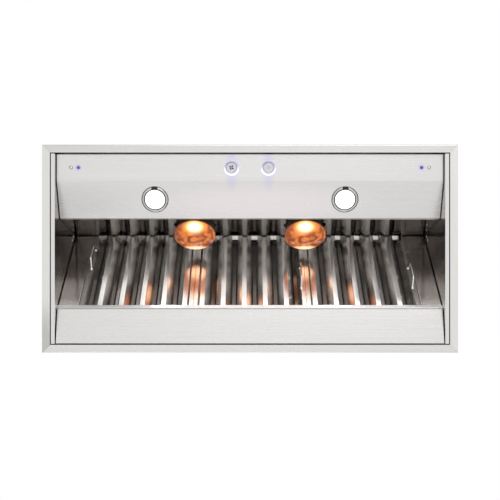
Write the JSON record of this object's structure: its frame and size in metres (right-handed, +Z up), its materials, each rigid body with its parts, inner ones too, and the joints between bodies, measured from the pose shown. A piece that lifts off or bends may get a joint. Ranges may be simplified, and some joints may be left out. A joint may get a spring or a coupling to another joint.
{
  "type": "island range hood",
  "caption": "Island range hood: stainless canopy with sloped baffle filters, amber heat lamps, task lights, control knobs, blower and a telescoping duct cover.",
  "frame": {"origin": "centre of the underside of the rim", "axes": "+X to the right along the hood for someone who stands at the control side, -Y towards that person, +Z up"},
  "size_m": [1.2192, 0.6096, 1.0572],
  "materials": {
    "brushed_stainless": "fine horizontal brush, satin",
    "satin_liner": "satin, slightly reflective",
    "polished_stainless": "mirror polished stainless sheet",
    "filter_stainless": "bright annealed stainless",
    "polished_wire": "polished wire",
    "light_chrome": "bright chrome",
    "light_glass": "frosted, lit white",
    "light_can_alloy": "spun",
    "amber_glass": "amber reflector lamp, lit",
    "lamp_brass": "rolled thread",
    "porcelain": "glazed",
    "knob_metal": "turned, satin",
    "bezel_plastic": "translucent, lit pale blue",
    "switch_plastic": "moulded",
    "indicator_blue": "clear, lit blue",
    "screw_steel": "bright pan head",
    "zinc_steel": "zinc plated",
    "galvanised_sheet": "galvanised",
    "wheel_alloy": "pressed blades",
    "motor_black": "black enamel"
  },
  "bodies": {
    "hood": {"blower_housing": "galvanised_sheet", "blower_motor": "motor_black", "ceiling_bracket": "zinc_steel", "conduit_connector": "zinc_steel", "control_box": "zinc_steel", "control_panel": "brushed_stainless", "cover_screws": "screw_steel", "damper_pins": "zinc_steel", "fan_knob_bezel": "bezel_plastic", "fan_switch": "switch_plastic", "filter_rest_rail": "satin_liner", "filter_top_channel": "satin_liner", "front_skin": "brushed_stainless", "hanger_rods": "zinc_steel", "indicator_lenses": "indicator_blue", "junction_box": "zinc_steel", "lamp_brackets": "zinc_steel", "lamp_panel": "polished_stainless", "left_end_skin": "brushed_stainless", "left_filler_plate": "satin_liner", "left_heat_lamp": "amber_glass", "left_lamp_base": "lamp_brass", "left_lamp_socket": "porcelain", "left_light_can": "light_can_alloy", "left_light_lens": "light_glass", "left_light_trim": "light_chrome", "light_dimmer": "switch_plastic", "light_knob_bezel": "bezel_plastic", "liner_left_wall": "satin_liner", "liner_right_wall": "satin_liner", "lower_duct_cover": "brushed_stainless", "outlet_collar": "galvanised_sheet", "panel_screws": "screw_steel", "rear_skin": "brushed_stainless", "right_end_skin": "brushed_stainless", "right_filler_plate": "satin_liner", "right_heat_lamp": "amber_glass", "right_lamp_base": "lamp_brass", "right_lamp_socket": "porcelain", "right_light_can": "light_can_alloy", "right_light_lens": "light_glass", "right_light_trim": "light_chrome", "top_plate": "brushed_stainless", "wall_screws": "screw_steel"},
    "fan_knob": {"fan_knob": "knob_metal"},
    "light_knob": {"light_knob": "knob_metal"},
    "blower_rotor": {"blower_wheel": "wheel_alloy"},
    "front_damper": {"front_damper_flap": "galvanised_sheet"},
    "rear_damper": {"rear_damper_flap": "galvanised_sheet"},
    "left_filter": {"left_filter_frame": "filter_stainless", "left_filter_baffles": "filter_stainless", "left_filter_handle": "polished_wire"},
    "middle_filter": {"middle_filter_frame": "filter_stainless", "middle_filter_baffles": "filter_stainless", "middle_filter_handle": "polished_wire"},
    "right_filter": {"right_filter_frame": "filter_stainless", "right_filter_baffles": "filter_stainless", "right_filter_handle": "polished_wire"},
    "grease_tray": {"grease_tray": "brushed_stainless"},
    "upper_cover": {"upper_duct_cover": "brushed_stainless"}
  },
  "joints": [
    {"name": "fan_knob_turn", "type": "hinge", "parent": "hood", "child": "fan_knob", "pos_m": [-0.0545, -0.2377, 0.008], "axis": [0, 0, 1], "range_deg": [0, 270]},
    {"name": "light_knob_turn", "type": "hinge", "parent": "hood", "child": "light_knob", "pos_m": [0.0545, -0.2377, 0.008], "axis": [0, 0, 1], "range_deg": [0, 270]},
    {"name": "blower_spin", "type": "hinge", "parent": "hood", "child": "blower_rotor", "pos_m": [0, 0.08, 0.335], "axis": [1, 0, 0], "continuous": true},
    {"name": "front_damper_swing", "type": "hinge", "parent": "hood", "child": "front_damper", "pos_m": [0, -0.007, 0.476], "axis": [-1, 0, 0], "range_deg": [0, 75]},
    {"name": "rear_damper_swing", "type": "hinge", "parent": "hood", "child": "rear_damper", "pos_m": [0, 0.007, 0.476], "axis": [1, 0, 0], "range_deg": [0, 75]},
    {"name": "left_filter_lift", "type": "slide", "parent": "hood", "child": "left_filter", "axis": [0, -0.6716, 0.7409], "range_m": [0, 0.012]},
    {"name": "middle_filter_lift", "type": "slide", "parent": "hood", "child": "middle_filter", "axis": [0, -0.6716, 0.7409], "range_m": [0, 0.012]},
    {"name": "right_filter_lift", "type": "slide", "parent": "hood", "child": "right_filter", "axis": [0, -0.6716, 0.7409], "range_m": [0, 0.012]},
    {"name": "grease_tray_drop", "type": "slide", "parent": "hood", "child": "grease_tray", "axis": [0, 0, -1], "range_m": [0, 0.12]},
    {"name": "upper_cover_slide", "type": "slide", "parent": "hood", "child": "upper_cover", "axis": [0, 0, -1], "range_m": [0, 0.2]}
  ]
}
